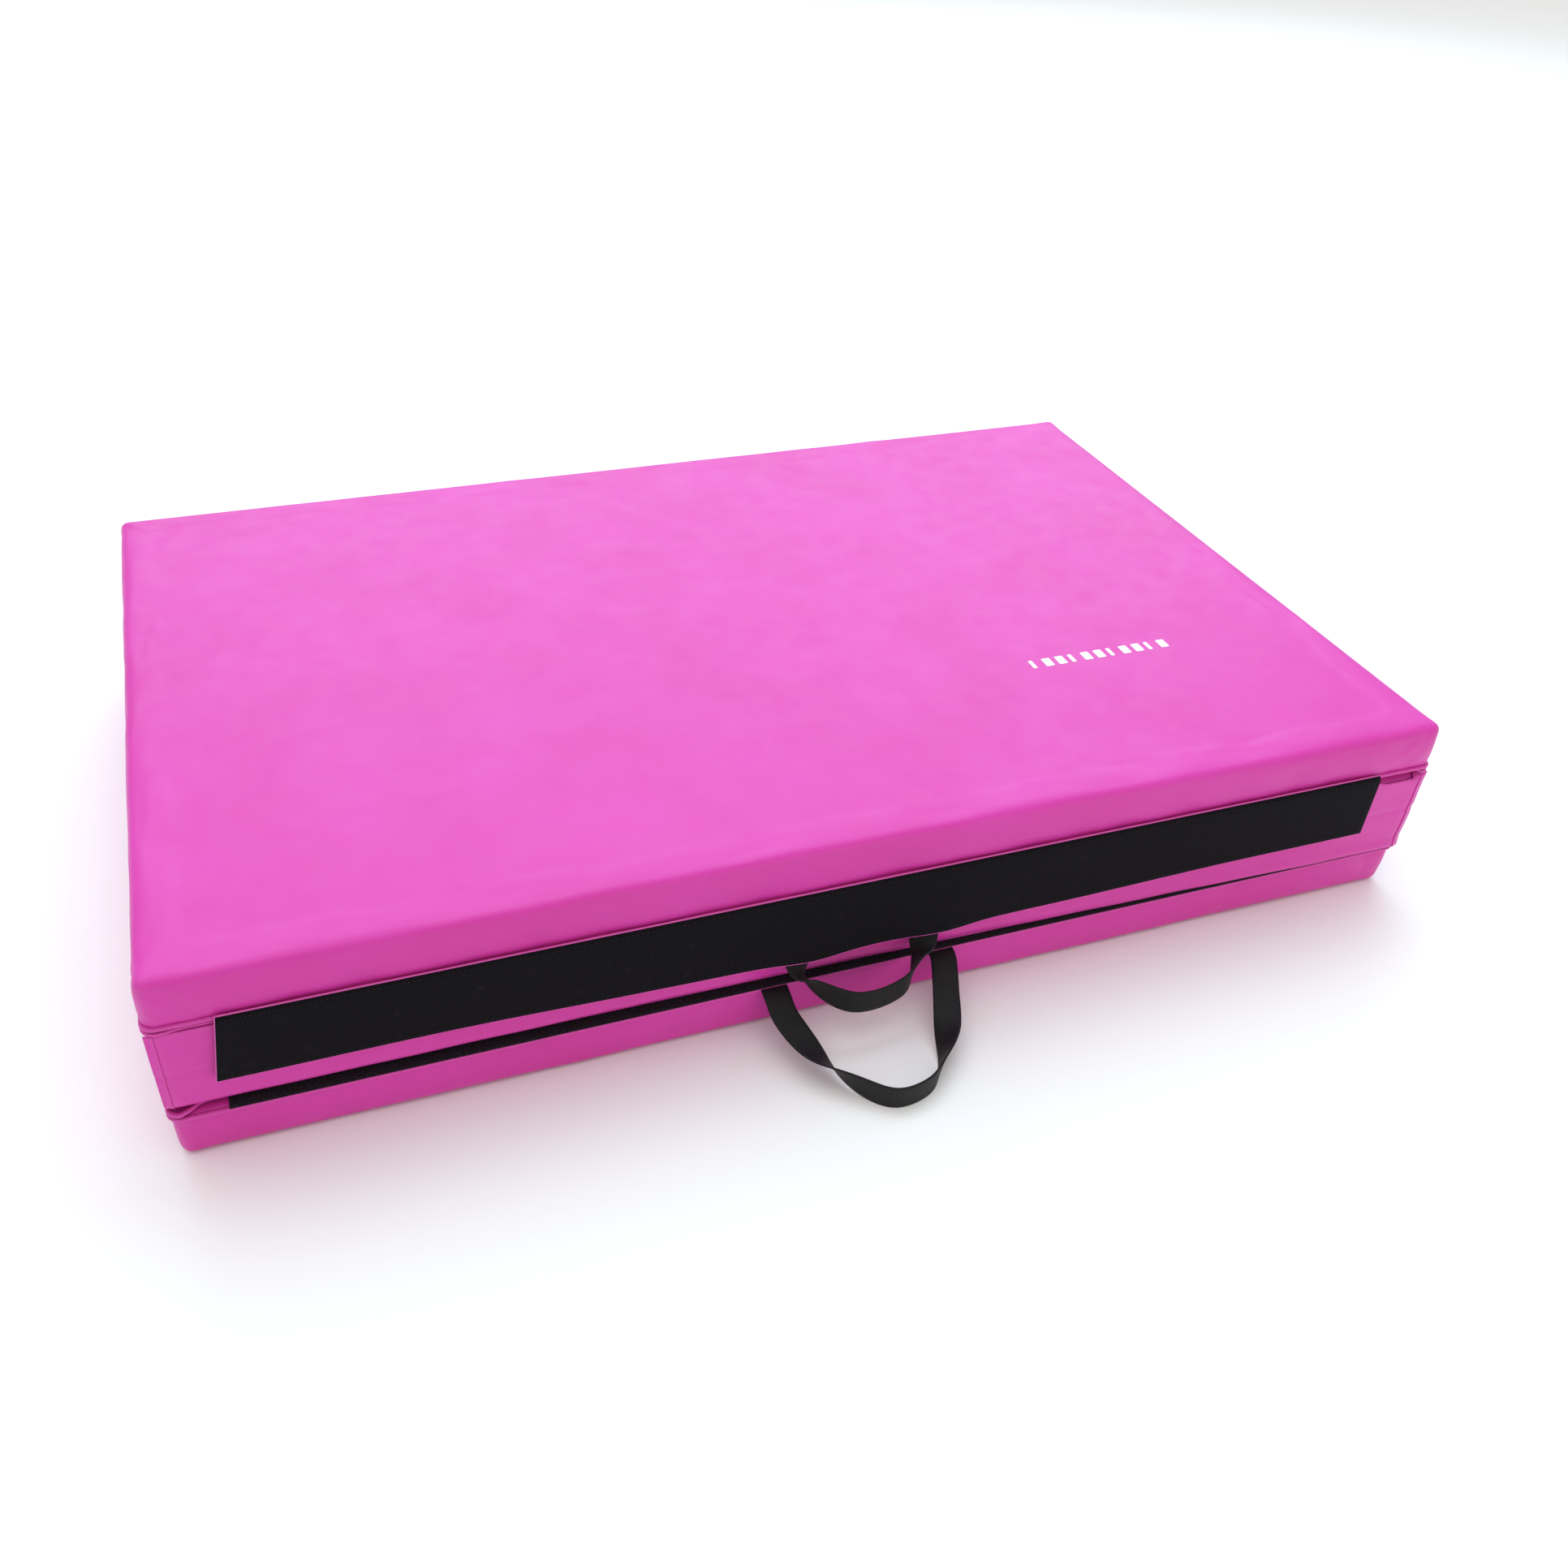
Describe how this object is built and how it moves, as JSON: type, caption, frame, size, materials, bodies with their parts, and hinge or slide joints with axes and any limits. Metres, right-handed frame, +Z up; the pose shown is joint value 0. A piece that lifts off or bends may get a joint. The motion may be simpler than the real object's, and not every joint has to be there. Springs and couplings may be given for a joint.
{
  "type": "folding gym mat",
  "caption": "Accordion-folding exercise mat: foam panels in satin vinyl covers, stacked shut, with webbing carry handles and a hook-and-loop connector flap.",
  "frame": {"origin": "centre of the bottom panel's face, on the floor, with the mat folded", "axes": "+X along the panels (4 ft side), -Y towards the free ends with the handles, +Z up from the floor"},
  "size_m": [1.2252, 0.8936, 0.2016],
  "materials": {
    "cover_vinyl": "satin",
    "backing_vinyl": "satin",
    "lip_vinyl": "satin",
    "strip_vinyl": "satin",
    "flap_vinyl": "satin",
    "foam": "matt closed-cell foam",
    "webbing": "woven nylon",
    "hook_tape": "matt hook tape",
    "loop_tape": "napped loop tape"
  },
  "bodies": {
    "panel_1": {"foam_core_1": "foam", "cover_1": "cover_vinyl", "backing_sheet_1": "backing_vinyl", "seam_lip_1": "lip_vinyl", "back_fold_strip_1": "strip_vinyl", "flap_header": "strip_vinyl", "upper_handle_tails": "webbing"},
    "panel_2": {"foam_core_2": "foam", "cover_2": "cover_vinyl", "backing_sheet_2": "backing_vinyl", "seam_lip_2": "lip_vinyl", "back_fold_strip_2": "strip_vinyl", "front_band_upper": "cover_vinyl"},
    "panel_3": {"foam_core_3": "foam", "cover_3": "cover_vinyl", "backing_sheet_3": "backing_vinyl", "seam_lip_3": "lip_vinyl", "back_fold_strip_3": "strip_vinyl", "front_band_lower": "cover_vinyl"},
    "panel_4": {"foam_core_4": "foam", "cover_4": "cover_vinyl", "backing_sheet_4": "backing_vinyl", "seam_lip_4": "lip_vinyl", "back_fold_strip_4": "strip_vinyl", "loop_tape": "loop_tape", "lower_handle_tails": "webbing"},
    "flap": {"connector_flap": "flap_vinyl", "hook_tape": "hook_tape"},
    "upper_handle": {"upper_handle_loop": "webbing"},
    "lower_handle": {"lower_handle_loop": "webbing"}
  },
  "joints": [
    {"name": "back_fold_34", "type": "hinge", "parent": "panel_4", "child": "panel_3", "pos_m": [0, 0.3843, 0.05], "axis": [-1, 0, 0], "range_deg": [0, 180]},
    {"name": "front_fold_23", "type": "hinge", "parent": "panel_3", "child": "panel_2", "pos_m": [0, -0.3843, 0.1008], "axis": [1, 0, 0], "range_deg": [0, 180]},
    {"name": "back_fold_12", "type": "hinge", "parent": "panel_2", "child": "panel_1", "pos_m": [0, 0.3843, 0.1516], "axis": [-1, 0, 0], "range_deg": [0, 180]},
    {"name": "flap_swing", "type": "hinge", "parent": "panel_1", "child": "flap", "pos_m": [0, -0.3853, 0.1563], "axis": [-1, 0, 0], "range_deg": [0, 150]},
    {"name": "upper_handle_swing", "type": "hinge", "parent": "panel_1", "child": "upper_handle", "pos_m": [0, -0.3853, 0.1563], "axis": [-1, 0, 0], "range_deg": [0, 150]},
    {"name": "lower_handle_swing", "type": "hinge", "parent": "panel_4", "child": "lower_handle", "pos_m": [0, -0.3853, 0.0476], "axis": [-1, 0, 0], "range_deg": [-65, 10]}
  ],
  "couplings": [
    {"joint": "back_fold_12", "follows": "front_fold_23", "ratio": 1},
    {"joint": "upper_handle_swing", "follows": "flap_swing", "ratio": 1}
  ]
}
